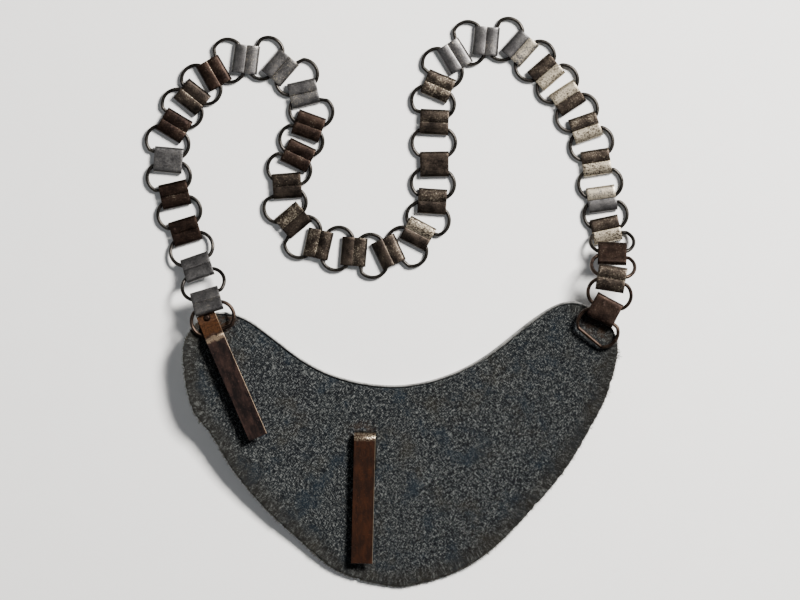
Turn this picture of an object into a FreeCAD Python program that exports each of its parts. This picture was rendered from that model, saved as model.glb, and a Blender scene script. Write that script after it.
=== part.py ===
"""Crescent neck gorget on a link chain, lying on its face with the cloth backing up.

Frame: +Z up from the surface it lies on, +Y from the plate towards the neck chain,
+X to the right, origin under the middle of the whole object. Lengths are in mm.
"""
import FreeCAD, Part
import math
import os

from FreeCAD import Placement, Rotation, Vector

doc = FreeCAD.newDocument("gorget")
sheet = doc.addObject("Spreadsheet::Sheet", "sizes")

SIZES = {
    "bend_radius": 480.0,  # the plate is bent to this radius about a line along Y
    "bend_centre_x": 5.7,
    "plate_thickness": 0.8,
    "cloth_thickness": 1.4,
    "rim_width": 1.0,
    "rim_height": 2.9,
    "cloth_overhang": 1.5,  # past the steel on the sides and the lower edge
    "strip_thickness": 0.9,
    "prong_width": 11.6,
    "prong_length": 70.0,
    "prong_gap": 5.0,  # clear height between the cloth and the prong
    "prong_foot": 16.0,
    "solder_thickness": 0.35,
    "hook_width": 10.3,
    "hook_rise": 20.7,
    "hook_drop": 15.3,
    "hook_length": 62.0,
    "hook_foot": 5.0,
    "foot_bend": 5.3,  # behind the ring's wire
    "hook_crest": 3.2,  # past the ring's wire
    "foot_radius": 1.4,  # of the strip's middle at its two bends
    "crest_radius": 1.8,
    "foot_clearance": 0.35,  # between the middle of the hook's foot and the cloth
    "rivet_radius": 1.9,
    "rivet_head": 0.9,
    "shank_radius": 1.1,
    "shank_depth": 0.5,  # into the steel
    "hole_clearance": 0.05,  # round the shank in the hook's foot
    "wire_radius": 1.0,
    "ring_span": 13.7,  # between the centres of the ring's two straight sides
    "ring_straight": 7.2,  # half the length of a straight side
    "ring_corner_radius": 2.0,
    "ring_corner_turn": 36.0,
    "sleeve_length": 13.9,
    "sleeve_width": 15.4,
    "sleeve_sheet": 0.5,
    "sleeve_half_height": 1.9,
    "sleeve_dome": 0.22,
    "seam_gap": 0.24,
    "seam_sink": 0.12,
    "ring_travel": 5.15,  # furthest that a ring's own wire goes from the sleeve's middle
    "hinge_travel": 4.65,  # the same for the wire that the sleeve swings on
    "shift_per_degree": 0.22,
    "shift_limit": 4.6,
}
for row, (alias, value) in enumerate(SIZES.items(), start=1):
    sheet.set(f"A{row}", alias)
    sheet.set(f"B{row}", str(value))
    sheet.setAlias(f"B{row}", alias)
doc.recompute()


def size(name):
    return float(sheet.get(name))


# ---------------------------------------------------------------- the chain's lie
# One row for each sleeve and the ring that leaves it: the sleeve's heading, the ring's
# heading, in degrees from +X, and how far the wires sit from the sleeve's middle.
LINKS = [
    (106, 111, 3.4), (109, 111, 3.9), (107, 105, 3.6), (103, 94, 3.1), (85, 72, 2.2),
    (59, 48, 2.9), (51, 46, 1.4), (30, 9, 2.6), (-7, -28, 2.6), (-41, -62, 2.8),
    (-77, -98, 2.6), (-110, -99, 1.4), (-115, -101, 1.4), (-86, -66, 2.4), (-50, -29, 2.6),
    (-13, -12, 3.8), (-5, 10, 2.2), (25, 46, 2.8), (62, 72, 2.6), (86, 83, 2.8),
    (91, 90, 4.8), (87, 74, 4.6), (67, 48, 2.2), (32, 11, 2.6), (-5, -26, 2.6),
    (-42, -44, 3.8), (-49, -53, 1.8), (-57, -56, 2.6), (-71, -73, 2.4), (-81, -85, 4.6),
    (-82, -90, 1.6), (-78, -91, 1.4), (-92, -97, 1.6), (-100, -103, 1.6), (-119, -131, 3.0),
]
FIRST_HEADING = 111
HOOK_WIRE = (-92.7, -14.6)  # middle of the hook ring's wire that lies in the hook

# Slopes in degrees, where the chain comes down from the hook and climbs on to the plate.
SLEEVE_SLOPE = {1: -22, 2: -20, 33: 30, 34: 4, 35: 4}
RING_SLOPE = {1: -27, 2: -12, 32: 42, 33: 40, 34: -16, 35: -6}
FACE_DOWN = (5, 21, 33, 35)  # sleeves that lie with their seam underneath

ALONG = Vector(1, 0, 0)
ACROSS = Vector(0, 1, 0)
UP = Vector(0, 0, 1)
TALL = 40  # height of the prisms that pass right through the bent sheet
BEND_LENGTH = 400  # of the cylinders that the bent sheet is cut from, well past the plate


def wire_place(tilt, wanted, travel):
    """How far from the sleeve's middle a wire lies that crosses it at this tilt."""
    reach = size("sleeve_width") / 2 * math.tan(math.radians(abs(tilt)))
    return min(wanted, size(travel) - reach)


def lay_chain():
    """Placements of the hook ring, of each sleeve and ring, and of each hinge wire."""
    turn = Rotation(UP, FIRST_HEADING)
    near = Vector(HOOK_WIRE[0], HOOK_WIRE[1], 0)
    span = size("ring_span")
    hook_ring = Placement(near, turn)
    links = []
    last_heading, last_slope = FIRST_HEADING, 0
    far = near + turn.multVec(ALONG * span)
    for number, (heading, ring_heading, wanted) in enumerate(LINKS, start=1):
        slope = SLEEVE_SLOPE.get(number, 0)
        ring_slope = RING_SLOPE.get(number, 0)
        hinge = Placement(far, turn)
        hinge_tilt = heading - last_heading
        ring_tilt = ring_heading - heading
        sleeve_turn = turn * Rotation(ACROSS, last_slope - slope) * Rotation(UP, hinge_tilt)
        behind = wire_place(hinge_tilt, wanted, "hinge_travel")
        ahead = wire_place(ring_tilt, wanted, "ring_travel")
        middle = far + sleeve_turn.multVec(ALONG * behind)
        out = middle + sleeve_turn.multVec(ALONG * ahead)
        turn = sleeve_turn * Rotation(UP, ring_tilt) * Rotation(ACROSS, slope - ring_slope)
        shift = size("shift_per_degree") * ring_tilt
        limit = size("shift_limit")
        near = out - turn.multVec(ACROSS * max(-limit, min(limit, shift)))
        far = near + turn.multVec(ALONG * span)
        links.append((Placement(middle, sleeve_turn), Placement(near, turn), hinge))
        last_heading, last_slope = ring_heading, ring_slope
    lowest = min(sleeve.Base.z for sleeve, ring, hinge in links)
    lift = UP * (size("sleeve_half_height") + size("sleeve_dome") - lowest)
    for place in [hook_ring] + [place for link in links for place in link]:
        place.Base = place.Base + lift
    return hook_ring, links


HOOK_RING, CHAIN = lay_chain()


# ---------------------------------------------------------------- helpers
def origin_plane(body, role):
    return next(o for o in body.Origin.OriginFeatures if o.Role == role)


def new_body(name):
    return doc.addObject("PartDesign::Body", name)


def new_sketch(body, name, role, curves):
    """A sketch of these curves on one of the body's own planes."""
    sketch = body.newObject("Sketcher::SketchObject", name)
    sketch.AttachmentSupport = (origin_plane(body, role), [""])
    sketch.MapMode = "FlatFace"
    for curve in curves:
        sketch.addGeometry(curve)
    return sketch


def pad(body, sketch, length):
    """Pad the sketch to both sides by an expression's length."""
    feature = body.newObject("PartDesign::Pad", sketch.Name + "_pad")
    feature.Profile = sketch
    feature.Midplane = True
    feature.setExpression("Length", length)
    return feature


def line(start, end):
    return Part.LineSegment(Vector(*start), Vector(*end))


def arc(start, middle, end):
    return Part.Arc(Vector(*start), Vector(*middle), Vector(*end))


def leftward(start, end):
    """Unit vector square to the way from start to end, on its left."""
    run = (end - start).normalize()
    return Vector(-run.y, run.x, 0)


def bent_strip(path, radii, thickness):
    """Outline of a strip bent along a path: straight runs joined by arcs."""
    points = [Vector(x, y, 0) for x, y in path]
    curves, starts, ends = [], [], []
    for aside in (thickness / 2, -thickness / 2):
        at = points[0] + leftward(points[0], points[1]) * aside
        starts.append(at)
        for before, corner, after, radius in zip(points, points[1:], points[2:], radii):
            come = (corner - before).normalize()
            leave = (after - corner).normalize()
            turn = math.atan2(come.cross(leave).z, come.dot(leave))
            back = radius * math.tan(abs(turn) / 2)
            centre = corner - come * back + leftward(before, corner) * math.copysign(radius, turn)
            swung = radius - math.copysign(1, turn) * aside
            enter = corner - come * back + leftward(before, corner) * aside
            top = centre + (corner - centre).normalize() * swung
            away = corner + leave * back + leftward(corner, after) * aside
            curves += [Part.LineSegment(at, enter), Part.Arc(enter, top, away)]
            at = away
        ends.append(points[-1] + leftward(points[-2], points[-1]) * aside)
        curves.append(Part.LineSegment(at, ends[-1]))
    return curves + [Part.LineSegment(*starts), Part.LineSegment(*ends)]


def surface_height(x, thickness):
    """Height over the table of the bent sheet's face at this depth of material."""
    radius = size("bend_radius") - thickness
    return size("bend_radius") - math.sqrt(radius ** 2 - (x - size("bend_centre_x")) ** 2)


# ---------------------------------------------------------------- the plate and its cloth
NECK = [
    (-93.6, -4.8), (-84.8, -5.1), (-69.3, -13.1), (-43.2, -32.4), (-14.2, -42.7),
    (4.8, -44.0), (21.1, -41.6), (52.9, -26.9), (80.7, -5.5), (97.3, 1.2), (102.8, 0.4),
]
RIGHT = [
    (102.8, 0.4), (111.8, -4.6), (118.3, -11.6), (122.3, -22.1), (121.4, -31.6),
    (115.9, -50.7), (107.5, -67.4), (96.4, -86.3), (75.9, -111.4), (53.9, -133.4),
    (41.7, -141.7), (28.1, -147.7), (5.4, -153.1),
]
LEFT = [
    (5.4, -153.1), (-14.2, -149.6), (-30.8, -143.0), (-47.3, -129.0), (-63.8, -114.0),
    (-77.9, -98.3), (-88.6, -83.4), (-96.9, -69.4), (-105.3, -58.6), (-109.2, -45.6),
    (-111.2, -28.0), (-109.8, -19.2), (-106.2, -13.1), (-101.2, -8.2), (-93.6, -4.8),
]


def inset(points, distance):
    """The points moved to the right of their direction of travel, into the plate."""
    moved = []
    for index, point in enumerate(points):
        before = Vector(*points[max(index - 1, 0)])
        after = Vector(*points[min(index + 1, len(points) - 1)])
        run = (after - before).normalize()
        moved.append((point[0] + run.y * distance, point[1] - run.x * distance))
    return moved


def spline(points):
    curve = Part.BSplineCurve()
    curve.interpolate([Vector(x, y, 0) for x, y in points])
    return curve


def crescent(name, neck_inset, edge_inset):
    """Upright prism on the crescent outline, set in from the neck and from the edge."""
    neck = inset(NECK, neck_inset)
    right = inset(RIGHT, edge_inset)
    left = inset(LEFT, edge_inset)
    right[0] = neck[-1]
    left[-1] = neck[0]
    left[0] = right[-1]
    outline = doc.addObject("Sketcher::SketchObject", name + "_outline")
    for points in (neck, right, left):
        outline.addGeometry(spline(points))
    return upright(name, outline)


def upright(name, outline):
    """Prism on a sketch, tall enough to pass right through the bent sheet."""
    prism = doc.addObject("Part::Extrusion", name + "_prism")
    prism.Base = outline
    prism.DirMode = "Custom"
    prism.Dir = UP
    prism.Solid = True
    prism.LengthFwd = TALL
    prism.LengthRev = 1
    return prism


def boolean(kind, name, base, tool):
    result = doc.addObject("Part::" + kind, name)
    result.Base = base
    result.Tool = tool
    return result


def bend_cylinder(name, depth):
    """Cylinder along Y whose wall is the bent face at this depth (an expression)."""
    cylinder = doc.addObject("Part::Cylinder", name)
    cylinder.setExpression("Radius", f"sizes.bend_radius - {depth}")
    cylinder.Height = BEND_LENGTH
    cylinder.Placement = Placement(
        Vector(size("bend_centre_x"), BEND_LENGTH / 2, size("bend_radius")), Rotation(ALONG, 90)
    )
    return cylinder


def bent_layer(name, low, high):
    """The bent layer between two depths above the underside."""
    outer = bend_cylinder(name + "_under", low)
    inner = bend_cylinder(name + "_over", high)
    return boolean("Cut", name + "_layer", outer, inner)


def make_plate():
    """Steel crescent with the thin lip that stands along its neck edge."""
    prism = crescent("steel", 0, size("cloth_overhang"))
    steel = bent_layer("steel", "0", "sizes.plate_thickness")
    web = boolean("Common", "plate_web", prism, steel)
    outline = doc.addObject("Sketcher::SketchObject", "rim_outline")
    outer = inset(NECK, 0)
    inner = inset(NECK, size("rim_width"))
    outline.addGeometry(spline(outer))
    outline.addGeometry(spline(inner))
    for end in (0, -1):
        outline.addGeometry(line((*outer[end], 0), (*inner[end], 0)))
    lip = bent_layer("lip", "0", "sizes.rim_height")
    rim = boolean("Common", "plate_rim", upright("rim", outline), lip)
    return boolean("Fuse", "gorget_plate", web, rim)


def box(name, low, high, place):
    block = doc.addObject("Part::Box", name)
    block.Length, block.Width, block.Height = [b - a for a, b in zip(low, high)]
    block.Placement = place * Placement(Vector(*low), Rotation())
    return block


PRONG_PLACE = Placement(Vector(-13.6, -73.1, 0), Rotation(UP, 180 - 1.4))
HOOK_PLACE = Placement(Vector(-95.3, -14.9, 0), Rotation(UP, -66.7))
SOLDER_ROOT = 0.1  # depth of the solder under the highest line of steel, before it is cut
SOLDER_INSET = 0.6  # of the solder from the edges of the prong's foot
SIDE_ROOM = 0.4  # in the cloth on each side of the prong
END_ROOM = 0.6  # in the cloth past the end of the prong's foot
TOP_ROOM = 0.15  # in the cloth's pocket over the prong's foot
NECK_ROOM = 0.5  # between the cloth and the plate's lip
HOLE_HEIGHT = 8  # of the cutter for the rivet's hole, through the cloth and the hook's foot
RIVET_LIFT = 0.02  # of the rivet's head over the hook's foot
# In the prong's own frame it is bent in the YZ plane and its leaf runs along +Y; in the
# hook's own frame the strip is bent in the XZ plane and its leaf runs along +X.


def prong_base():
    """Height of the steel's upper face under the centre prong."""
    return surface_height(PRONG_PLACE.Base.x, size("plate_thickness"))


def hook_base():
    """Height of the cloth's upper face under the hook's foot."""
    foot = HOOK_PLACE.multVec(Vector(-size("foot_bend") - size("hook_foot") / 2, 0, 0))
    return surface_height(foot.x, size("plate_thickness") + size("cloth_thickness"))


def make_cloth():
    """Felt layer on the steel, with a slot for the prong's bend and a pocket for its foot."""
    prism = crescent("cloth", size("rim_width") + NECK_ROOM, 0)
    felt = bent_layer(
        "cloth", "sizes.plate_thickness", "(sizes.plate_thickness + sizes.cloth_thickness)"
    )
    layer = boolean("Common", "cloth_plain", prism, felt)
    half = size("prong_width") / 2 + SIDE_ROOM
    base = prong_base()
    pocket_top = base + size("solder_thickness") + size("strip_thickness") + TOP_ROOM
    foot_end = size("prong_foot") + END_ROOM
    bend = prong_rise() / 2 + size("strip_thickness")
    slot = box("prong_slot", (-half, -bend, base - 2), (half, 0.5, base + 4), PRONG_PLACE)
    pocket = box("foot_pocket", (-half, 0.4, base - 2), (half, foot_end, pocket_top), PRONG_PLACE)
    cut = boolean("Fuse", "prong_room", slot, pocket)
    opened = boolean("Cut", "cloth_opened", layer, cut)
    return boolean("Cut", "cloth_backing", opened, rivet_hole("cloth_hole", 4))


# ---------------------------------------------------------------- prong, hook and rivet
def prong_rise():
    """Between the mid-planes of the prong's foot and leaf."""
    return size("cloth_thickness") - size("solder_thickness") + size("prong_gap")


def make_prong():
    """Flat prong folded back over its own soldered foot."""
    body = new_body("centre_prong")
    half = size("strip_thickness") / 2
    low = prong_base() + size("solder_thickness") + half
    high = low + prong_rise()
    bend = prong_rise() / 2
    path = [
        (size("prong_foot"), low), (-bend, low), (-bend, high),
        (size("prong_length") - bend, high),
    ]
    curves = bent_strip(path, [bend * 0.999, bend * 0.999], 2 * half)
    strip = new_sketch(body, "prong_profile", "YZ_Plane", curves)
    pad(body, strip, "sizes.prong_width")
    body.Placement = PRONG_PLACE
    return body


def make_solder():
    """Solder film between the prong's foot and the steel."""
    half = size("prong_width") / 2 - SOLDER_INSET
    foot_end = size("prong_foot") - SOLDER_INSET
    base = prong_base()
    low, high = base - SOLDER_ROOT, base + size("solder_thickness")
    film = box("solder_block", (-half, SOLDER_INSET, low), (half, foot_end, high), PRONG_PLACE)
    steel = bent_layer("solder", "0", "sizes.plate_thickness")
    return boolean("Cut", "prong_solder", film, steel)


def make_hook():
    """Strip hook: a riveted foot, a steep rise over the ring's wire and a long leaf."""
    body = new_body("hook_strip")
    half = size("strip_thickness") / 2
    low = hook_base() + size("foot_clearance") + half
    path = [
        (-size("foot_bend") - size("hook_foot"), low), (-size("foot_bend"), low),
        (size("hook_crest"), size("hook_rise")), (size("hook_length"), size("hook_drop") + half),
    ]
    curves = bent_strip(path, [size("foot_radius"), size("crest_radius")], 2 * half)
    strip = new_sketch(body, "hook_profile", "XZ_Plane", curves)
    pad(body, strip, "sizes.hook_width")
    body.Placement = HOOK_PLACE
    return boolean("Cut", "chain_hook", body, rivet_hole("foot_hole", 1))


def rivet_hole(name, clearances):
    """Upright cutter round the rivet's shank, wider by this many hole clearances."""
    cutter = doc.addObject("Part::Cylinder", name)
    cutter.setExpression("Radius", f"sizes.shank_radius + {clearances} * sizes.hole_clearance")
    cutter.Height = HOLE_HEIGHT
    cutter.Placement = rivet_place(hook_base() - HOLE_HEIGHT / 2)
    return cutter


def rivet_place(height):
    middle = HOOK_PLACE.multVec(Vector(-size("foot_bend") - size("hook_foot") / 2, 0, 0))
    return Placement(Vector(middle.x, middle.y, height), Rotation())


def make_rivet():
    """Round-headed rivet that holds the hook's foot to the steel."""
    body = new_body("hook_rivet")
    head, shank = size("rivet_radius"), size("shank_radius")
    seat = hook_base() + size("foot_clearance") + size("strip_thickness") + RIVET_LIFT
    foot = surface_height(rivet_place(0).Base.x, size("plate_thickness")) - size("shank_depth")
    top, flat = seat + size("rivet_head"), head * 0.2
    curves = [
        line((0, foot, 0), (shank, foot, 0)),
        line((shank, foot, 0), (shank, seat, 0)),
        line((shank, seat, 0), (head, seat, 0)),
        arc((head, seat, 0), (head * 0.75, seat + size("rivet_head") * 0.72, 0), (flat, top, 0)),
        line((flat, top, 0), (0, top, 0)),
        line((0, top, 0), (0, foot, 0)),
    ]
    profile = new_sketch(body, "rivet_profile", "XZ_Plane", curves)
    turned = body.newObject("PartDesign::Revolution", "rivet_turned")
    turned.Profile = profile
    turned.ReferenceAxis = (profile, ["V_Axis"])
    turned.Angle = 360
    body.Placement = rivet_place(0)
    return body


# ---------------------------------------------------------------- chain pieces
def sleeve_curves():
    """Section of the folded sleeve: two domed leaves that meet at the seam."""
    length, dome = size("sleeve_length"), size("sleeve_dome")
    outer = size("sleeve_half_height")
    inner = outer - size("sleeve_sheet")
    bend_x = length / 2 - outer
    lip = size("seam_gap") / 2
    curves = []
    for side in (1, -1):
        for radius in (outer, inner):
            seam = (side * lip, radius - size("seam_sink"), 0)
            crown = (side * (lip + bend_x) / 2, radius + dome, 0)
            corner = (side * bend_x, radius, 0)
            end = (side * (bend_x + radius), 0, 0)
            curves += [arc(seam, crown, corner), arc(corner, end, (side * bend_x, -radius, 0))]
        top = outer - size("seam_sink")
        curves.append(line((side * lip, top, 0), (side * lip, top - size("sleeve_sheet"), 0)))
    curves += [line((-bend_x, -r, 0), (bend_x, -r, 0)) for r in (outer, inner)]
    return curves


def make_sleeve():
    """The pattern for every folded sleeve, its wires running along Y."""
    body = new_body("sleeve_pattern")
    profile = new_sketch(body, "sleeve_profile", "XZ_Plane", sleeve_curves())
    pad(body, profile, "sizes.sleeve_width")
    return body


def ring_curves():
    """Centre line of a ring: two straight sides joined by bulging ears."""
    half, span = size("ring_straight"), size("ring_span")
    bend, turn = size("ring_corner_radius"), math.radians(size("ring_corner_turn"))
    ear = (span / 2 - bend * (1 - math.cos(turn))) / math.cos(turn)
    middle = half + (bend - ear) * math.sin(turn)
    curves = [line((x, -half, 0), (x, half, 0)) for x in (0, span)]
    for side in (1, -1):
        joints = []
        for near, into in ((0, 1), (span, -1)):
            def on_bend(angle):
                sunk = near + into * bend * (1 - math.cos(angle))
                return (sunk, side * (half + bend * math.sin(angle)), 0)
            curves.append(arc(on_bend(0), on_bend(turn / 2), on_bend(turn)))
            joints.append(on_bend(turn))
        curves.append(arc(joints[0], (span / 2, side * (middle + ear), 0), joints[1]))
    return curves


def make_ring():
    """The pattern for every wire ring, its first straight side on the Y axis."""
    body = new_body("ring_pattern")
    path = new_sketch(body, "ring_path", "XY_Plane", ring_curves())
    wire = Part.Circle(Vector(0, 0, 0), UP, size("wire_radius"))
    section = new_sketch(body, "ring_section", "XZ_Plane", [wire])
    doc.recompute()
    pipe = body.newObject("PartDesign::AdditivePipe", "ring_pipe")
    pipe.Profile = (section, [""])
    pipe.Spine = (path, [""])
    return body


def copy_of(pattern, name, place):
    copy = doc.addObject("App::Link", name)
    copy.LinkedObject = pattern
    copy.Placement = place
    return copy


def make_link(number, sleeve, ring, sleeve_at, ring_at):
    """One chain link: a sleeve and the ring that leaves it, as two loose solids."""
    if number in FACE_DOWN:
        sleeve_at = sleeve_at * Placement(Vector(), Rotation(ALONG, 180))
    link = doc.addObject("Part::Compound", f"chain_link_{number:02d}")
    link.Links = [
        copy_of(sleeve, f"sleeve_{number:02d}", sleeve_at),
        copy_of(ring, f"ring_{number:02d}", ring_at),
    ]
    return link


def make_parts():
    sleeve, ring = make_sleeve(), make_ring()
    parts = [make_plate(), make_cloth(), make_prong(), make_solder(), make_hook(), make_rivet()]
    hook_ring = doc.addObject("Part::Compound", "hook_ring")
    hook_ring.Links = [copy_of(ring, "ring_00", HOOK_RING)]
    parts.append(hook_ring)
    for number, (sleeve_at, ring_at, hinge) in enumerate(CHAIN, start=1):
        parts.append(make_link(number, sleeve, ring, sleeve_at, ring_at))
    return parts


def check(parts):
    failed = [o.Name for o in doc.Objects if {"Invalid", "Error"} & set(o.State)]
    failed += [p.Name for p in parts if p.Shape.isNull() or not p.Shape.isValid()]
    if failed:
        raise RuntimeError(f"these objects failed: {failed}")


def centre(parts):
    """Move every part so that the origin is under the middle of the whole object."""
    box_round = Part.makeCompound([part.Shape for part in parts]).optimalBoundingBox()
    move = Vector(-box_round.Center.x, -box_round.Center.y, -box_round.ZMin)
    for part in parts:
        part.Placement.Base = part.Placement.Base + move
        part.Label = part.Name
    return move


PARTS = make_parts()
doc.recompute()
MOVE = centre(PARTS)
doc.recompute()
check(PARTS)
os.makedirs("parts", exist_ok=True)
for part in PARTS:
    part.Shape.exportStep(f"parts/{part.Label}.step")
whole = Part.makeCompound([part.Shape for part in PARTS])
print(len(PARTS), "nodes,", len(whole.Solids), "solids, box", whole.optimalBoundingBox())
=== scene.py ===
"""Crescent neck gorget, cloth side up, on its link chain: cloth, metals, light and camera.

Lengths are in metres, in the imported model's frame: +Z up from the table, +Y from the plate
towards the chain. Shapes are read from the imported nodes, so they lie where the CAD put them.
"""

import math
import random

import bmesh
import bpy
import numpy as np
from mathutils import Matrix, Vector, noise
from mathutils.bvhtree import BVHTree
from mathutils.geometry import delaunay_2d_cdt


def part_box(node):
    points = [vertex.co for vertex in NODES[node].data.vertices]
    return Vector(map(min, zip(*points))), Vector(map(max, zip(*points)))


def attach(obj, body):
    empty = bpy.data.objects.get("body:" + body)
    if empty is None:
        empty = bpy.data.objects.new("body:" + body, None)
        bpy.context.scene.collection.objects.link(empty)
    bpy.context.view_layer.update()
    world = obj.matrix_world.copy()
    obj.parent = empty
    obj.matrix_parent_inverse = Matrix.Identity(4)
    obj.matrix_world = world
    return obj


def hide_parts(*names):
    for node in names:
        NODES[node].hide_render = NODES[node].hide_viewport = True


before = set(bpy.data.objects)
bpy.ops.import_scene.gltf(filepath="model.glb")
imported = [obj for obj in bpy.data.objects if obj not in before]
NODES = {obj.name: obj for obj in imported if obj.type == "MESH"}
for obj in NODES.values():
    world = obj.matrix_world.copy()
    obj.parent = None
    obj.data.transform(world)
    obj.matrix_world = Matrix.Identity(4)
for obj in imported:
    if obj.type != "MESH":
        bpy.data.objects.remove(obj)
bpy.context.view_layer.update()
MM = 0.001
UP = Vector((0, 0, 1))
SAME_POINT = 0.001 * MM  # points closer than this are joined
SHARP = math.radians(40)  # edges that turn more than this are rounded
random.seed(11)

# ---------------------------------------------------------------- camera and light
PLATE_LOW, PLATE_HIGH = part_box("gorget_plate")
PLATE_MIDDLE = (PLATE_LOW + PLATE_HIGH) / 2
VIEW_WIDTH = 0.432  # across the picture, at the table
VIEW_CENTRE = (PLATE_MIDDLE.x - 0.0002, PLATE_MIDDLE.y + 0.0771)
LENS, SENSOR = 240, 36  # mm


def add_object(name, data):
    piece = bpy.data.objects.new(name, data)
    bpy.context.scene.collection.objects.link(piece)
    return piece


def make_camera():
    """Camera straight above the table, with the picture's top towards +Y."""
    data = bpy.data.cameras.new("camera")
    data.lens, data.sensor_width = LENS, SENSOR
    camera = add_object("camera", data)
    camera.location = (*VIEW_CENTRE, VIEW_WIDTH * LENS / SENSOR)
    bpy.context.scene.camera = camera


def area_light(name, place, size, power, colour):
    """Square soft box at this place, facing the middle of the object."""
    data = bpy.data.lights.new(name, "AREA")
    data.size, data.energy, data.color = size, power, colour
    light = add_object(name, data)
    light.location = place
    light.rotation_mode = "QUATERNION"
    light.rotation_quaternion = (-Vector(place)).to_track_quat("-Z", "Y")


def make_light():
    area_light("key_light", (0.88, 0.75, 1.26), 0.48, 104.0, (1.0, 0.97, 0.93))
    area_light("fill_light", (-0.60, -0.25, 0.80), 0.70, 1.0, (0.93, 0.96, 1.0))
    world = bpy.data.worlds.new("studio")
    world.use_nodes = True
    background = world.node_tree.nodes["Background"]
    background.inputs["Color"].default_value = (0.92, 0.95, 1.0, 1)
    background.inputs["Strength"].default_value = 0.13
    bpy.context.scene.world = world


# ---------------------------------------------------------------- shader helpers
class Shader:
    """One node material on a Principled BSDF, built from short calls."""

    def __init__(self, name):
        self.material = bpy.data.materials.new(name)
        self.material.use_nodes = True
        self.tree = self.material.node_tree
        self.surface = self.tree.nodes["Principled BSDF"]
        self.place = self.node("ShaderNodeTexCoord").outputs["Object"]

    def node(self, kind, **settings):
        made = self.tree.nodes.new(kind)
        for key, value in settings.items():
            setattr(made, key, value)
        return made

    def feed(self, socket, value):
        """Link another node's output to the socket, or set its value."""
        if isinstance(value, bpy.types.NodeSocket):
            self.tree.links.new(value, socket)
        elif isinstance(value, tuple) and socket.type == "RGBA":
            socket.default_value = (*value, 1)
        else:
            socket.default_value = value

    def calc(self, operation, first, second=0.0, clamp=False):
        made = self.node("ShaderNodeMath", operation=operation, use_clamp=clamp)
        self.feed(made.inputs[0], first)
        self.feed(made.inputs[1], second)
        return made.outputs[0]

    def mix(self, factor, first, second):
        """Colour that goes from the first to the second."""
        made = self.node("ShaderNodeMix", data_type="RGBA")
        for index, value in ((0, factor), (6, first), (7, second)):
            self.feed(made.inputs[index], value)
        return made.outputs[2]

    def blend(self, factor, first, second):
        """Number that goes from the first to the second."""
        made = self.node("ShaderNodeMix", data_type="FLOAT")
        for index, value in ((0, factor), (2, first), (3, second)):
            self.feed(made.inputs[index], value)
        return made.outputs[0]

    def noise(self, scale, detail=2.0, roughness=0.5, place=None):
        made = self.node("ShaderNodeTexNoise")
        self.feed(made.inputs["Vector"], place or self.place)
        for key, value in (("Scale", scale), ("Detail", detail), ("Roughness", roughness)):
            self.feed(made.inputs[key], value)
        return made.outputs["Fac"]

    def local(self, turn, stretch=(1, 1, 1), start=(0, 0, 0)):
        """Place in axes that begin at a point, turned about Z and stretched along each."""
        made = self.node("ShaderNodeMapping", vector_type="TEXTURE")
        self.feed(made.inputs["Vector"], self.place)
        made.inputs["Location"].default_value = start
        made.inputs["Rotation"].default_value = (0, 0, math.radians(turn))
        made.inputs["Scale"].default_value = stretch
        return made.outputs[0]

    def combine(self, x, y):
        made = self.node("ShaderNodeCombineXYZ")
        self.feed(made.inputs[0], x)
        self.feed(made.inputs[1], y)
        return made.outputs[0]

    def step(self, value, low, high):
        """0 below low, 1 above high and smooth between."""
        made = self.node("ShaderNodeMapRange", interpolation_type="SMOOTHSTEP")
        for index, number in ((0, value), (1, low), (2, high)):
            self.feed(made.inputs[index], number)
        return made.outputs[0]

    def attribute(self, name):
        return self.node("ShaderNodeAttribute", attribute_name=name).outputs["Fac"]

    def axis(self, name, place):
        made = self.node("ShaderNodeSeparateXYZ")
        self.feed(made.inputs[0], place)
        return made.outputs[name]

    def bump(self, height, distance, strength):
        made = self.node("ShaderNodeBump")
        for key, value in (("Distance", distance), ("Strength", strength), ("Height", height)):
            self.feed(made.inputs[key], value)
        self.feed(self.surface.inputs["Normal"], made.outputs[0])

    def finish(self, **inputs):
        """Feed the surface's sockets and return the material."""
        for key, value in inputs.items():
            self.feed(self.surface.inputs[key.replace("_", " ")], value)
        return self.material


FELT_DARK = (0.0020, 0.0026, 0.0038)
FELT_MIDDLE = (0.0105, 0.0128, 0.0145)
FELT_LIGHT = (0.101, 0.106, 0.103)
FELT_BLUE = (0.005, 0.010, 0.016)
FELT_SOILED = (0.020, 0.017, 0.011)
FELT_EDGE = (0.015, 0.013, 0.010)
FELT_RUST = (0.026, 0.013, 0.006)
WORN_STEEL = (0.46, 0.40, 0.30)
RUST = (0.034, 0.013, 0.007)


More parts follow.
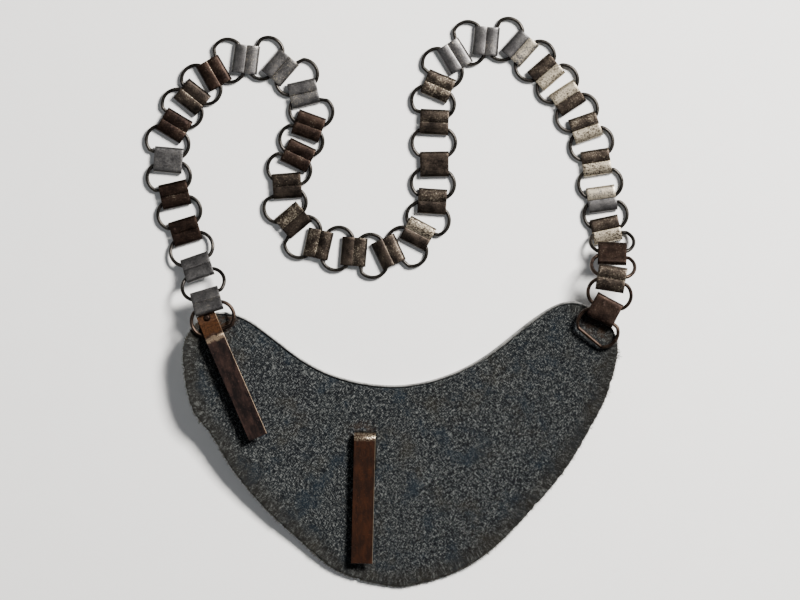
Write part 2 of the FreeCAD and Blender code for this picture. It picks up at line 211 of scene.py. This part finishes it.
# ---------------------------------------------------------------- materials
def felt_material():
    """Worn grey-blue wool felt: crossed fibres, dark pits, stains and a combed edge."""
    s = Shader("wool_felt")
    edge, along = s.attribute("edge_distance"), s.attribute("edge_along")
    near_edge = s.calc("SUBTRACT", 1.0, s.step(edge, 0.003, 0.012))
    one_way = s.noise(1950, 2, 0.6, s.local(47, (1, 3.4, 1)))
    crossed = s.blend(0.5, one_way, s.noise(1950, 2, 0.6, s.local(-40, (1, 3.4, 1))))
    combed = s.noise(1.0, 2, 0.6, s.combine(s.calc("MULTIPLY", along, 1500), s.calc("MULTIPLY", edge, 220)))
    crossed = s.blend(s.calc("MULTIPLY", near_edge, 0.6), crossed, combed)
    grain = s.blend(0.3, crossed, s.noise(2700, 2, 0.6))
    colour = s.mix(s.step(grain, 0.44, 0.53), FELT_DARK, FELT_MIDDLE)
    colour = s.mix(s.step(grain, 0.51, 0.60), colour, FELT_LIGHT)
    blue = s.calc("MULTIPLY", s.step(s.noise(75, 4, 0.6), 0.50, 0.70), 0.6)
    colour = s.mix(blue, colour, FELT_BLUE)
    soiled = s.calc("MULTIPLY", s.step(s.noise(48, 5, 0.65), 0.50, 0.72), 0.40)
    colour = s.mix(soiled, colour, FELT_SOILED)
    colour = s.mix(s.calc("MULTIPLY", near_edge, 0.45), colour, FELT_EDGE)
    rust = s.calc("MULTIPLY", s.attribute("rust"), s.step(s.noise(220, 4, 0.7), 0.36, 0.62))
    colour = s.mix(rust, colour, FELT_RUST)
    s.bump(grain, 0.0007, 1.0)
    return s.finish(Base_Color=colour, Roughness=0.95, Specular_IOR_Level=0.1)


def fibre_material(name, colour):
    """Loose wool threads, lighter and darker along their length."""
    s = Shader(name)
    shade = s.mix(s.noise(700, 2), tuple(c * 0.35 for c in colour), tuple(c * 1.5 for c in colour))
    return s.finish(Base_Color=shade, Roughness=0.9, Specular_IOR_Level=0.1)


def steel_material(name, dark, light, rust=0.3, gloss=0.36, worn=0.0):
    """Old sheet steel or wire: patina, fine pits, rust spots and bright worn specks. On the sleeves each
    half's number lifts its tone and its bright specks, real wear together with painted sheen where that
    half reflects the key light.
    """
    s = Shader(name)
    cloud = s.noise(170, 5, 0.6)
    fine = s.noise(1400, 3, 0.65)
    coarse = s.noise(1250, 4, 0.7)
    # On the sleeves the number is read from their points: real wear and painted sheen together, lifting the
    # tone and the bright specks below.
    wear_and_sheen = s.attribute("wear_and_sheen") if worn is None else worn
    tone = s.calc("ADD", s.blend(0.4, cloud, fine), s.calc("MULTIPLY", wear_and_sheen, 0.10))
    colour = s.mix(s.step(tone, 0.38, 0.64), dark, light)
    speck = s.step(s.calc("ADD", s.blend(0.3, coarse, cloud), s.calc("MULTIPLY", wear_and_sheen, 0.20)), 0.59, 0.73)
    strength = s.calc("ADD", s.calc("MULTIPLY", wear_and_sheen, 0.7), 0.25, True)
    colour = s.mix(s.calc("MULTIPLY", speck, strength), colour, WORN_STEEL)
    spots = s.step(s.noise(420, 5, 0.7), 0.70 - 0.28 * rust, 0.84 - 0.22 * rust)
    spots = s.calc("MULTIPLY", spots, s.calc("SUBTRACT", 1.0, s.calc("MULTIPLY", wear_and_sheen, 0.6)))
    colour = s.mix(spots, colour, RUST)
    metal = s.calc("SUBTRACT", 0.9, s.calc("MULTIPLY", spots, 0.7))
    uneven = s.blend(s.step(fine, 0.3, 0.7), gloss, gloss + 0.14)
    rough = s.calc("ADD", s.calc("MULTIPLY", spots, 0.3), uneven)
    s.bump(s.blend(0.5, fine, coarse), 0.00012, 0.6)
    return s.finish(Base_Color=colour, Metallic=metal, Roughness=rough)


def strip_material(name, leaf, foot, bare, worn, holes, lit_edge_at, turn, start):
    """Rusted strip whose own X runs along its leaf from the bend at the start point.

    It is worn bare in the range called worn, which on the hook's crest also serves as a painted highlight.
    Along its edge on the Y side, the side turned to the key light, which lies the given edge distance from
    the middle, a thin light line is a painted highlight. The leaf goes between two colours, and behind the
    bend it is rusty.
    """
    s = Shader(name)
    cloud = s.noise(230, 5, 0.65, s.local(turn, (2.6, 1, 1), start))
    fine = s.noise(1200, 3, 0.7)
    ragged = s.calc("MULTIPLY", s.calc("SUBTRACT", s.blend(0.5, cloud, fine), 0.5), 7 * MM)
    along = s.calc("ADD", s.axis("X", s.local(turn, start=start)), ragged)
    across = s.axis("Y", s.local(turn, start=start))
    colour = s.mix(s.step(cloud, 0.38, 0.64), *leaf)
    colour = s.mix(s.step(fine, 0.58, 0.76), colour, tuple(c * 2.2 for c in leaf[1]))
    behind = s.calc("SUBTRACT", 1.0, s.step(along, worn[0] - 1.5 * MM, worn[0] + 0.5 * MM))
    rust = s.mix(s.step(fine, 0.4, 0.6), tuple(c * 0.35 for c in foot), foot)
    colour = s.mix(behind, colour, rust)
    # Band across the bend: bare rubbed metal, and on the hook's crest also a painted highlight.
    entered = s.step(along, worn[0], worn[0] + 1.5 * MM)
    within = s.calc("MULTIPLY", entered, s.step(along, worn[1], worn[1] - 2 * MM))
    rubbed_and_lit = s.calc("MULTIPLY", within, s.step(fine, holes, holes + 0.14))
    # Painted highlight: a thin light line along the leaf's edge on the Y side, the side turned to the key
    # light.
    edge = s.step(across, lit_edge_at - 0.35 * MM, lit_edge_at - 0.10 * MM)
    edge = s.calc("MULTIPLY", edge, s.step(cloud, 0.30, 0.50))
    rubbed_and_lit = s.calc("MAXIMUM", rubbed_and_lit, s.calc("MULTIPLY", edge, 0.6))
    colour = s.mix(rubbed_and_lit, colour, bare)
    rough = s.calc("ADD", s.blend(rubbed_and_lit, 0.44, 0.34), s.calc("MULTIPLY", behind, 0.25))
    s.bump(s.blend(0.6, cloud, fine), 0.00018, 0.8)
    metal = s.blend(rubbed_and_lit, 0.25, 0.95)
    return s.finish(Base_Color=colour, Metallic=metal, Roughness=rough, Specular_IOR_Level=0.15)


# ---------------------------------------------------------------- mesh helpers
def mesh_object(name, verts, faces, smooth=True):
    mesh = bpy.data.meshes.new(name)
    mesh.from_pydata(verts, [], faces)
    mesh.polygons.foreach_set("use_smooth", [smooth] * len(faces))
    mesh.update()
    return add_object(name, mesh)


def add_attribute(piece, name, values):
    """Store one number for each point of the piece, for its material."""
    piece.data.attributes.new(name, "FLOAT", "POINT").data.foreach_set("value", values)


def whole_mesh(node):
    """The node's mesh with its split points joined."""
    mesh = bmesh.new()
    mesh.from_mesh(NODES[node].data)
    bmesh.ops.remove_doubles(mesh, verts=mesh.verts, dist=SAME_POINT)
    return mesh


def loose_parts(mesh):
    """Groups of faces that hang together."""
    left, parts = set(mesh.faces), []
    while left:
        queue = [left.pop()]
        part = list(queue)
        while queue:
            for edge in queue.pop().edges:
                for face in edge.link_faces:
                    if face in left:
                        left.remove(face)
                        queue.append(face)
                        part.append(face)
        parts.append(part)
    return parts


def soften(piece, width):
    """Round the sharp edges a little, so that they catch the light."""
    piece.modifiers.new("join", "WELD").merge_threshold = SAME_POINT
    bevel = piece.modifiers.new("round", "BEVEL")
    bevel.width, bevel.segments = width, 2
    bevel.limit_method, bevel.angle_limit = "ANGLE", SHARP


def paint(piece, material):
    piece.data.materials.clear()
    piece.data.materials.append(material)


# ---------------------------------------------------------------- the felt
BEND_RADIUS = 0.480  # of the plate, about a line along Y
BEND_LINE = PLATE_MIDDLE.x + 0.0001  # where the plate's bend is lowest, along X
CLOTH_DEPTH = 0.0022  # of the felt's upper face above the plate's underside
SHEET_THICKNESS = 0.9 * MM  # leaves room under the felt for its hollows
HOLLOW_DEPTH, TUFT_DEPTH = 0.14 * MM, 0.13 * MM
EDGE_SINK, EDGE_ROUNDING = 0.35 * MM, 0.8 * MM  # how far the cut edge sinks, and from where
FACING_UP = 0.9  # least Z of the normals of a sheet's upper face
GRID = 0.9 * MM
ROW_STEP = GRID * math.sqrt(0.75)  # between rows of a grid of equal triangles
EDGE_STEP = 0.45 * MM
FRAY = 0.35 * MM
LIP_REACH = 0.9 * MM  # out from the felt, where the plate's lip is looked for
ABOVE_ALL = 0.1  # a height over every part
BATCH = 2000  # points whose distances are worked out together
THREAD_SIDES = 4
THREAD_RADIUS, FIBRE_RADIUS = 0.10 * MM, 0.06 * MM
FIBRE_COUNT = 9000
FIBRE_HEADINGS = (0.75, 2.45)  # of the felt's two main directions, in radians


def beside(node, x, y):
    """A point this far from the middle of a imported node, seen from above."""
    low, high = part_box(node)
    return (low.x + high.x) / 2 + x, (low.y + high.y) / 2 + y


# Rust stains on the felt: place, radius and strength.
STAINS = [
    (beside("hook_rivet", 0.004, 0.0), 0.013, 0.9),
    (beside("chain_link_35", 0.0, -0.002), 0.010, 0.6),
    (beside("centre_prong", 0.0, 0.035), 0.008, 0.5),
]


def upper_loops(node):
    """Closed rows of points round the upper face of a sheet, the longest first."""
    mesh = whole_mesh(node)
    mesh.normal_update()
    top = {f for f in mesh.faces if f.normal.z > FACING_UP}
    border = [e for e in mesh.edges if sum(f in top for f in e.link_faces) == 1]
    ways = {}
    for edge in border:
        for point in edge.verts:
            ways.setdefault(point, []).append(edge.other_vert(point))
    loops = []
    while ways:
        point = next(iter(ways))
        loop = []
        while point in ways:
            loop.append(point.co.copy())
            onward = [p for p in ways.pop(point) if p in ways]
            if onward:
                point = onward[0]
        loops.append(loop)
    mesh.free()
    return sorted(loops, key=len, reverse=True)


def resample(loop, step):
    """Evenly spaced points round a closed row of points, seen from above."""
    flat = np.array([(p.x, p.y) for p in loop + loop[:1]])
    run = np.concatenate([[0], np.cumsum(np.linalg.norm(np.diff(flat, axis=0), axis=1))])
    places = np.linspace(0, run[-1], int(run[-1] / step), endpoint=False)
    return np.stack([np.interp(places, run, flat[:, i]) for i in (0, 1)], axis=1), places


def outward_normals(points):
    ahead = np.roll(points, -3, axis=0) - np.roll(points, 3, axis=0)
    ahead /= np.linalg.norm(ahead, axis=1)[:, None]
    x, y = points[:, 0], points[:, 1]
    turn = np.sign(np.sum(x * np.roll(y, -1) - np.roll(x, -1) * y))
    return np.stack([ahead[:, 1], -ahead[:, 0]], axis=1) * turn


def inside(points, loop):
    """Which of the points lie within the closed row of points."""
    result = np.zeros(len(points), bool)
    for (x0, y0), (x1, y1) in zip(loop, np.roll(loop, -1, axis=0)):
        crosses = (y0 > points[:, 1]) != (y1 > points[:, 1])
        if crosses.any():
            at = x0 + (points[crosses, 1] - y0) * (x1 - x0) / (y1 - y0)
            result[crosses] ^= points[crosses, 0] < at
    return result


def felt_top(x, y):
    """Height of the felt's smooth upper face."""
    return BEND_RADIUS - math.sqrt((BEND_RADIUS - CLOTH_DEPTH) ** 2 - (x - BEND_LINE) ** 2)


def felt_relief(x, y):
    """How far the felt lies below its smooth upper face: soft hollows and fine tufts."""
    place = Vector((x, y, 0))
    hollow = noise.noise(place * 90) * 0.5 + 0.5
    tuft = noise.noise(place * 620) * 0.5 + 0.5
    return HOLLOW_DEPTH * hollow + TUFT_DEPTH * tuft


def neck_edge(points, outward):
    """Which edge points have the plate's lip just outside them."""
    plate = whole_mesh("gorget_plate")
    tree = BVHTree.FromBMesh(plate)
    plate.free()
    found = []
    for point, way in zip(points, outward):
        x, y = point + way * LIP_REACH
        found.append(tree.ray_cast(Vector((x, y, ABOVE_ALL)), -UP)[0] is not None)
    return np.array(found)


def frayed(points, places, outward, neck):
    """The cut edge with its small waves, tufts and notches."""
    shift = np.zeros(len(points))
    for index, place in enumerate(places):
        wave = noise.noise((place * 330, 0, 0)) + 0.8 * noise.noise((place * 1100, 5, 0))
        notch = max(0.0, noise.noise((place * 190, 9, 0)) - 0.33) * 4.0
        shift[index] = FRAY * (wave - notch) * (0.12 if neck[index] else 1.0)
    return points + outward * shift[:, None]


def edge_facts(points, edge, places):
    """For each point its distance to the edge and the nearest place along it."""
    distance, along = np.empty(len(points)), np.empty(len(points))
    for start in range(0, len(points), BATCH):
        batch = slice(start, start + BATCH)
        gap = points[batch, None, :] - edge[None]
        gap = np.hypot(gap[..., 0], gap[..., 1])
        distance[batch] = gap.min(axis=1)
        along[batch] = places[gap.argmin(axis=1)]
    return distance, along


def rust_stain(x, y):
    """How strongly rust has stained the felt round the fastenings."""
    total = 0.0
    for (cx, cy), radius, strength in STAINS:
        gap = math.hypot(x - cx, y - cy) / radius
        total = max(total, strength * max(0.0, 1.2 - gap * gap))
    return min(1.0, total)


def make_felt():
    """The felt backing as one fine sheet with a frayed cut edge, laid on the bent plate."""
    loops = upper_loops("cloth_backing")
    edge, places = resample(loops[0], EDGE_STEP)
    outward = outward_normals(edge)
    neck = neck_edge(edge, outward)
    edge = frayed(edge, places, outward, neck)
    holes = [resample(loop, EDGE_STEP)[0] for loop in loops[1:] if len(loop) > 3]
    low, high = edge.min(axis=0), edge.max(axis=0)
    rows = np.arange(low[1], high[1], ROW_STEP)
    columns = np.arange(low[0], high[0], GRID)
    grid = np.array([(x + GRID / 2 * (i % 2), y) for i, y in enumerate(rows) for x in columns])
    grid = grid[inside(grid, edge)]
    for hole in holes:
        grid = grid[~inside(grid, hole)]
    rims = np.concatenate([edge] + holes)
    grid = grid[edge_facts(grid, rims, np.zeros(len(rims)))[0] > GRID * 0.5]
    points = np.concatenate([rims, grid])
    joined, start = [], 0
    for loop in [edge] + holes:
        joined += [(start + i, start + (i + 1) % len(loop)) for i in range(len(loop))]
        start += len(loop)
    made = delaunay_2d_cdt([Vector(p) for p in points], joined, [], 0, 1e-7)
    flat = np.array([(p.x, p.y) for p in made[0]])
    faces = np.array(made[2])
    middles = flat[faces].mean(axis=1)
    keep = inside(middles, edge)
    for hole in holes:
        keep &= ~inside(middles, hole)
    distance, along = edge_facts(flat, edge, places)
    free = edge_facts(flat, edge[~neck], places[~neck])[0]
    verts = []
    for (x, y), gap in zip(flat, distance):
        sink = EDGE_SINK * max(0.0, 1 - gap / EDGE_ROUNDING) ** 2
        verts.append((x, y, felt_top(x, y) - felt_relief(x, y) - sink))
    felt = mesh_object("felt_sheet", verts, [tuple(f) for f in faces[keep]])
    add_attribute(felt, "edge_distance", free)
    add_attribute(felt, "edge_along", along)
    add_attribute(felt, "rust", [rust_stain(x, y) for x, y in flat])
    thick = felt.modifiers.new("thickness", "SOLIDIFY")
    thick.thickness, thick.offset = SHEET_THICKNESS, -1
    paint(felt, felt_material())
    area = polygon_area(unrolled(edge)) - sum(polygon_area(unrolled(hole)) for hole in holes)
    return felt, edge, outward, neck, float(area)


def unrolled(loop):
    """The same points with the plate's bend laid flat."""
    radius = BEND_RADIUS - CLOTH_DEPTH
    return np.stack([radius * np.arcsin((loop[:, 0] - BEND_LINE) / radius), loop[:, 1]], axis=1)


def polygon_area(loop):
    x, y = loop[:, 0], loop[:, 1]
    return abs(np.sum(x * np.roll(y, -1) - np.roll(x, -1) * y)) / 2


def thread_mesh(name, threads):
    """Many thin tapered threads as one mesh; each is its points and its radius."""
    verts, faces = [], []
    for line, radius in threads:
        first = len(verts)
        for index, point in enumerate(line):
            way = (line[min(index + 1, len(line) - 1)] - line[max(index - 1, 0)]).normalized()
            side = way.cross(UP).normalized()
            over = side.cross(way)
            wide = radius * (1 - 0.6 * index / (len(line) - 1))
            for turn in range(THREAD_SIDES):
                angle = 2 * math.pi * turn / THREAD_SIDES
                verts.append(point + (side * math.cos(angle) + over * math.sin(angle)) * wide)
        for ring in range(len(line) - 1):
            for turn in range(THREAD_SIDES):
                a = first + ring * THREAD_SIDES + turn
                b = first + ring * THREAD_SIDES + (turn + 1) % THREAD_SIDES
                faces.append((a, b, b + THREAD_SIDES, a + THREAD_SIDES))
        last = first + (len(line) - 1) * THREAD_SIDES
        faces.append(tuple(range(last, last + THREAD_SIDES)))
    return mesh_object(name, verts, faces)


def curl(start, heading, length, bend, drop, parts=4):
    """Points of one loose thread that curls sideways and sinks or lifts as it goes."""
    line, place = [start.copy()], start.copy()
    for _ in range(parts - 1):
        heading += bend / parts
        place = place + Vector((math.cos(heading), math.sin(heading), 0)) * (length / (parts - 1))
        place.z -= drop / (parts - 1)
        line.append(place)
    return line


def make_fray(edge, outward, neck):
    """Loose thread ends along the cut edge of the felt."""
    threads = []
    for point, way, covered in zip(edge, outward, neck):
        if covered:
            continue
        for _ in range(random.choice((1, 2, 3))):
            x, y = point - way * random.uniform(0.1, 0.8) * MM
            start = Vector((x, y, felt_top(x, y) - random.uniform(0.05, 0.6) * MM))
            heading = math.atan2(way[1], way[0]) + random.gauss(0, 0.45)
            tuft = max(0.0, noise.noise(Vector((x, y, 0.3)) * 260) - 0.30) * 6 * MM
            length = random.uniform(0.7, 1.5) * MM + tuft * random.uniform(0.5, 1.0)
            line = curl(start, heading, length, random.gauss(0, 0.7), 0.1 * MM)
            threads.append((line, THREAD_RADIUS))
    return thread_mesh("felt_fray", threads)


def make_fuzz(edge):
    """Short wool fibres that lie loose on the felt."""
    threads = []
    low, high = edge.min(axis=0), edge.max(axis=0)
    spots = np.array([[random.uniform(low[i], high[i]) for i in (0, 1)] for _ in range(FIBRE_COUNT)])
    spots = spots[inside(spots, edge)]
    spots = spots[edge_facts(spots, edge, np.zeros(len(edge)))[0] > 1.5 * MM]
    for x, y in spots:
        start = Vector((x, y, felt_top(x, y) - 0.12 * MM))
        heading = random.choice(FIBRE_HEADINGS) + random.gauss(0, 0.5)
        line = curl(start, heading, random.uniform(0.8, 2.2) * MM, random.gauss(0, 1.2), 0)
        for point in line[1:]:
            point.z = felt_top(point.x, point.y) - random.uniform(0.02, 0.16) * MM
        threads.append((line, FIBRE_RADIUS))
    return thread_mesh("felt_fibres_pale", threads)


def make_cloth():
    """The felt with its fray and its loose fibres, laid on the plate as one sheet."""
    felt, edge, outward, neck, area = make_felt()
    fray = make_fray(edge, outward, neck)
    fibres = make_fuzz(edge)
    paint(fibres, fibre_material("pale_fibre", (0.060, 0.062, 0.058)))
    # The loose threads are lighter than the felt, partly painted light that hides the shade on the cut
    # edge's side wall.
    paint(fray, fibre_material("fray_fibre", (0.050, 0.048, 0.041)))
    for piece in (felt, fray, fibres):
        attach(piece, "gorget")
    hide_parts("cloth_backing")


# ---------------------------------------------------------------- the chain
SLEEVE_WIDTH = 15.4 * MM
SLEEVE_HALF_LENGTH = 6.95 * MM
SLEEVE_HALF_HEIGHT = 1.9 * MM
SLEEVE_SHEET = 0.5 * MM
PATH_STEPS = 9  # points along each flat or bend of the folded sheet
SEAM_REACH = 1 * MM  # from a sleeve's middle, where its seam's lips are looked for
SEAM_LIP = 0.12 * MM  # from the sleeve's middle to each lip of its seam
SEAM_SINK = 0.12 * MM
LEAF_CROWN = 0.28 * MM
DENT, SKEW = 0.07 * MM, 0.10 * MM
POLISH, POLISH_WIDTH = 0.35, 0.8 * MM  # extra wear beside the seam's lips
RING_WOBBLE = 0.10 * MM
STATIONS = 12  # rows of points across a sleeve
# For each link its sleeve's steel, and how worn the sleeve's rear and front half are; these numbers also
# carry painted sheen, higher for a half that looks brighter where it reflects the key light.
LOOKS = {
    1: ("grey", 0.25, 0.15), 2: ("grey", 0.00, 0.05), 3: ("rusty", 0.00, 0.00),
    4: ("rusty", 0.05, 0.00), 5: ("grey", 0.25, 0.10), 6: ("rusty", 0.05, 0.10),
    7: ("brown", 0.15, 0.05), 8: ("rusty", 0.05, 0.10), 9: ("grey", 0.10, 0.35),
    10: ("grey", 0.25, 0.45), 11: ("grey", 0.25, 0.35), 12: ("rusty", 0.10, 0.05),
    13: ("rusty", 0.10, 0.10), 14: ("brown", 0.30, 0.00), 15: ("brown", 0.45, 0.10),
    16: ("brown", 0.40, 0.25), 17: ("brown", 0.05, 0.35), 18: ("brown", 0.10, 0.30),
    19: ("brown", 0.05, 0.65), 20: ("brown", 0.05, 0.35), 21: ("brown", 0.05, 0.05),
    22: ("brown", 0.15, 0.30), 23: ("brown", 0.40, 0.35), 24: ("grey", 0.00, 0.35),
    25: ("grey", 0.00, 0.30), 26: ("grey", 0.05, 0.85), 27: ("brown", 0.25, 0.95),
    28: ("brown", 0.95, 0.25), 29: ("brown", 0.35, 0.95), 30: ("brown", 0.30, 0.85),
    31: ("grey", 0.95, 0.10), 32: ("brown", 0.20, 0.90), 33: ("rusty", 0.15, 0.10),
    34: ("brown", 0.30, 0.25), 35: ("rusty", 0.05, 0.05),
}
LINK_COUNT = len(LOOKS)


def sleeve_frame(part, ring_centre):
    """Centre and axes of a sleeve: X to its ring, Y along the wires, Z to its seam side."""
    points = np.array([p.co for p in {p for f in part for p in f.verts}])
    spread = np.zeros((3, 3))
    for face in part:
        normal = np.array(face.normal)
        spread += face.calc_area() * np.outer(normal, normal)
    ends, folds, leaves = np.linalg.eigh(spread)[1].T
    axes = [folds, ends, leaves]
    reach = [points @ axis for axis in axes]
    centre = sum(axis * (r.max() + r.min()) / 2 for axis, r in zip(axes, reach))
    x_axis = folds * np.sign((ring_centre - centre) @ folds)
    lips = points[np.abs((points - centre) @ x_axis) < SEAM_REACH]
    z_axis = leaves * np.sign(((lips - centre) @ leaves).mean())
    height = (points @ z_axis).min() + SLEEVE_HALF_HEIGHT
    centre = centre + z_axis * (height - centre @ z_axis)
    return centre, x_axis, np.cross(z_axis, x_axis), z_axis


def sleeve_path(leans):
    """Middle line of the folded sheet in its XZ plane, from the front lip to the rear lip."""
    radius = SLEEVE_HALF_HEIGHT - SLEEVE_SHEET / 2
    bend = SLEEVE_HALF_LENGTH - SLEEVE_HALF_HEIGHT
    line = []
    for t in np.linspace(0, 1, PATH_STEPS):
        rise = (leans[1] - SEAM_SINK) * (1 - t) + LEAF_CROWN * 4 * t * (1 - t)
        line.append((SEAM_LIP + (bend - SEAM_LIP) * t, radius + rise))
    for angle in np.linspace(0, math.pi, PATH_STEPS)[1:-1]:
        line.append((bend + radius * math.sin(angle), radius * math.cos(angle)))
    line += [(x, -radius) for x in np.linspace(bend, -bend, PATH_STEPS)]
    for angle in np.linspace(math.pi, 0, PATH_STEPS)[1:-1]:
        line.append((-bend - radius * math.sin(angle), radius * math.cos(angle)))
    for t in np.linspace(1, 0, PATH_STEPS):
        rise = (leans[0] - SEAM_SINK) * (1 - t) + LEAF_CROWN * 4 * t * (1 - t)
        line.append((-SEAM_LIP - (bend - SEAM_LIP) * t, radius + rise))
    return np.array(line)


def make_sleeve(number, part, ring_centre):
    """Folded sheet sleeve with its own small dents, leaning leaves and crooked ends."""
    centre, x_axis, y_axis, z_axis = sleeve_frame(part, ring_centre)
    leans = [random.uniform(-0.06, 0.10) * MM for _ in (0, 1)]
    path = sleeve_path(leans)
    along = np.gradient(path, axis=0)
    along /= np.linalg.norm(along, axis=1)[:, None]
    normal = np.stack([-along[:, 1], along[:, 0]], axis=1)
    verts, wear_and_sheen = [], []
    look, rear, front = LOOKS[number]
    for skin in (0.5, -0.5):
        for (x, z), (nx, nz) in zip(path, normal):
            skewed = noise.noise((x * 300, number * 3.1, z * 300)) * SKEW
            for station in np.linspace(-0.5, 0.5, STATIONS):
                y = station * SLEEVE_WIDTH + skewed * (2 * station) ** 3
                dent = noise.noise((x * 260, y * 260, number * 7.7)) * DENT
                place = (x + nx * (skin * SLEEVE_SHEET + dent), z + nz * (skin * SLEEVE_SHEET + dent))
                verts.append(centre + x_axis * place[0] + y_axis * y + z_axis * place[1])
                # Each half gets its number from the table, real wear and painted sheen together; the seam's
                # lips get extra wear.
                polish = POLISH * max(0.0, 1 - abs(x) / POLISH_WIDTH) if z > 0 else 0.0
                wear_and_sheen.append((front if x > 0 else rear) + polish)
    count = len(path)
    faces = []

    def at(skin, i, j):
        return (skin * count + i) * STATIONS + j

    for i in range(count - 1):
        for j in range(STATIONS - 1):
            faces.append((at(0, i, j), at(0, i + 1, j), at(0, i + 1, j + 1), at(0, i, j + 1)))
            faces.append((at(1, i, j), at(1, i, j + 1), at(1, i + 1, j + 1), at(1, i + 1, j)))
        for j, turned in ((0, False), (STATIONS - 1, True)):
            cap = (at(0, i, j), at(1, i, j), at(1, i + 1, j), at(0, i + 1, j))
            faces.append(cap[::-1] if turned else cap)
    for i, turned in ((0, True), (count - 1, False)):
        for j in range(STATIONS - 1):
            cap = (at(0, i, j), at(1, i, j), at(1, i, j + 1), at(0, i, j + 1))
            faces.append(cap[::-1] if turned else cap)
    sleeve = mesh_object(f"sleeve_{number:02d}", verts, faces)
    add_attribute(sleeve, "wear_and_sheen", wear_and_sheen)
    soften(sleeve, 0.10 * MM)
    paint(sleeve, SLEEVE_STEEL[look])
    return sleeve


def make_ring(number, part):
    """Wire ring with the slight unevenness of hand bending."""
    points = list({p for f in part for p in f.verts})
    index = {p: i for i, p in enumerate(points)}
    verts = []
    for point in points:
        wobble = [noise.noise(point.co * 130 + Vector((number, k, 0))) for k in range(3)]
        verts.append(point.co + Vector(wobble) * RING_WOBBLE)
    faces = [tuple(index[p] for p in f.verts) for f in part]
    ring = mesh_object(f"ring_{number:02d}", verts, faces)
    paint(ring, WIRE["rusty" if number in RUSTY_RINGS else "dark"])
    return ring


RUSTY_RINGS = (0, 33, 34, 35)
SLEEVE_STEEL = {
    "grey": steel_material("grey_steel", (0.052, 0.050, 0.051), (0.112, 0.108, 0.107), 0.05, 0.32, None),
    "brown": steel_material("brown_steel", (0.007, 0.005, 0.004), (0.040, 0.030, 0.023), 0.25, 0.34, None),
    "rusty": steel_material("rusty_steel", (0.006, 0.003, 0.002), (0.024, 0.014, 0.010), 0.40, 0.36, None),
}
WIRE = {
    "dark": steel_material("dark_wire", (0.010, 0.009, 0.008), (0.038, 0.034, 0.030), 0.2, 0.24),
    "rusty": steel_material("rusty_wire", (0.012, 0.008, 0.006), (0.046, 0.030, 0.022), 0.5, 0.28),
}


def make_chain():
    """A piece for each sleeve and each ring, in place of the chain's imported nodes."""
    for number in range(LINK_COUNT + 1):
        body = f"chain_link_{number:02d}" if number else "hook_ring"
        mesh = whole_mesh(body)
        mesh.normal_update()
        parts = sorted(loose_parts(mesh), key=len)
        ring = parts[-1]
        pieces = [make_ring(number, ring)]
        if number:
            corners = [p.co for f in ring for p in f.verts]
            pieces.append(make_sleeve(number, parts[0], np.array(sum(corners, Vector()) / len(corners))))
        for piece in pieces:
            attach(piece, body)
            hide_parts(body)
        mesh.free()


# ---------------------------------------------------------------- plate, prong and hook
HOOK_TURN, PRONG_TURN = -66.7, -91.4  # of the two leaves, in degrees from +X
HOOK_HALF_WIDTH, PRONG_HALF_WIDTH = 5.15 * MM, 5.8 * MM
ROUNDED_EDGES = {"centre_prong": 0.22, "chain_hook": 0.20, "prong_solder": 0.10, "gorget_plate": 0.15}  # mm


def hook_crest():
    """Middle of the line along which the hook is highest."""
    points = [p.co for p in NODES["chain_hook"].data.vertices]
    top = max(points, key=lambda point: point.z)
    turn = math.radians(HOOK_TURN)
    side = Vector((-math.sin(turn), math.cos(turn), 0))
    middle = sum(points, Vector()) / len(points)
    return top + side * (middle - top).dot(side)


def make_metal_parts():
    """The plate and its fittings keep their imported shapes, with rounded edges."""
    looks = {
        "gorget_plate": steel_material(
            "plate_steel", (0.14, 0.14, 0.137), (0.36, 0.36, 0.35), rust=0.15, gloss=0.44, worn=0.3
        ),
        "prong_solder": steel_material("old_solder", (0.12, 0.12, 0.11), (0.30, 0.30, 0.28), 0.05),
        "hook_rivet": SLEEVE_STEEL["rusty"],
        # The hook's bare colour paints its rubbed crest, which is also a painted highlight there, and a
        # painted highlight along its lit edge.
        "chain_hook": strip_material(
            "hook_rust", leaf=((0.004, 0.0025, 0.0025), (0.024, 0.0130, 0.0105)),
            foot=(0.055, 0.022, 0.008), bare=(0.34, 0.25, 0.17), worn=(-1.5 * MM, 2.5 * MM),
            holes=0.34, lit_edge_at=HOOK_HALF_WIDTH, turn=HOOK_TURN, start=hook_crest(),
        ),
        # The prong's bare colour paints its worn top bend and a faint painted highlight along its lit edge.
        "centre_prong": strip_material(
            "prong_rust", leaf=((0.008, 0.0025, 0.0008), (0.022, 0.0066, 0.0019)),
            foot=(0.05, 0.022, 0.01), bare=(0.30, 0.25, 0.18), worn=(-2 * MM, 5 * MM),
            holes=0.46, lit_edge_at=PRONG_HALF_WIDTH, turn=PRONG_TURN,
            start=(*beside("centre_prong", 0.0009, 0.0352), 0),
        ),
    }
    for node, material in looks.items():
        paint(NODES[node], material)
    for node, width in ROUNDED_EDGES.items():
        soften(NODES[node], width * MM)


# ---------------------------------------------------------------- the whole scene
def make_floor():
    """Pale table, well past the picture's edges."""
    far = 1.5
    corners = [(-far, -far, 0), (far, -far, 0), (far, far, 0), (-far, far, 0)]
    floor = mesh_object("table_top", corners, [(0, 1, 2, 3)])
    s = Shader("pale_table")
    tone = s.mix(s.noise(60, 3), (0.86, 0.86, 0.85), (0.89, 0.89, 0.88))
    paint(floor, s.finish(Base_Color=tone, Roughness=0.8))


make_camera()
make_light()
make_floor()
make_cloth()
make_metal_parts()
make_chain()
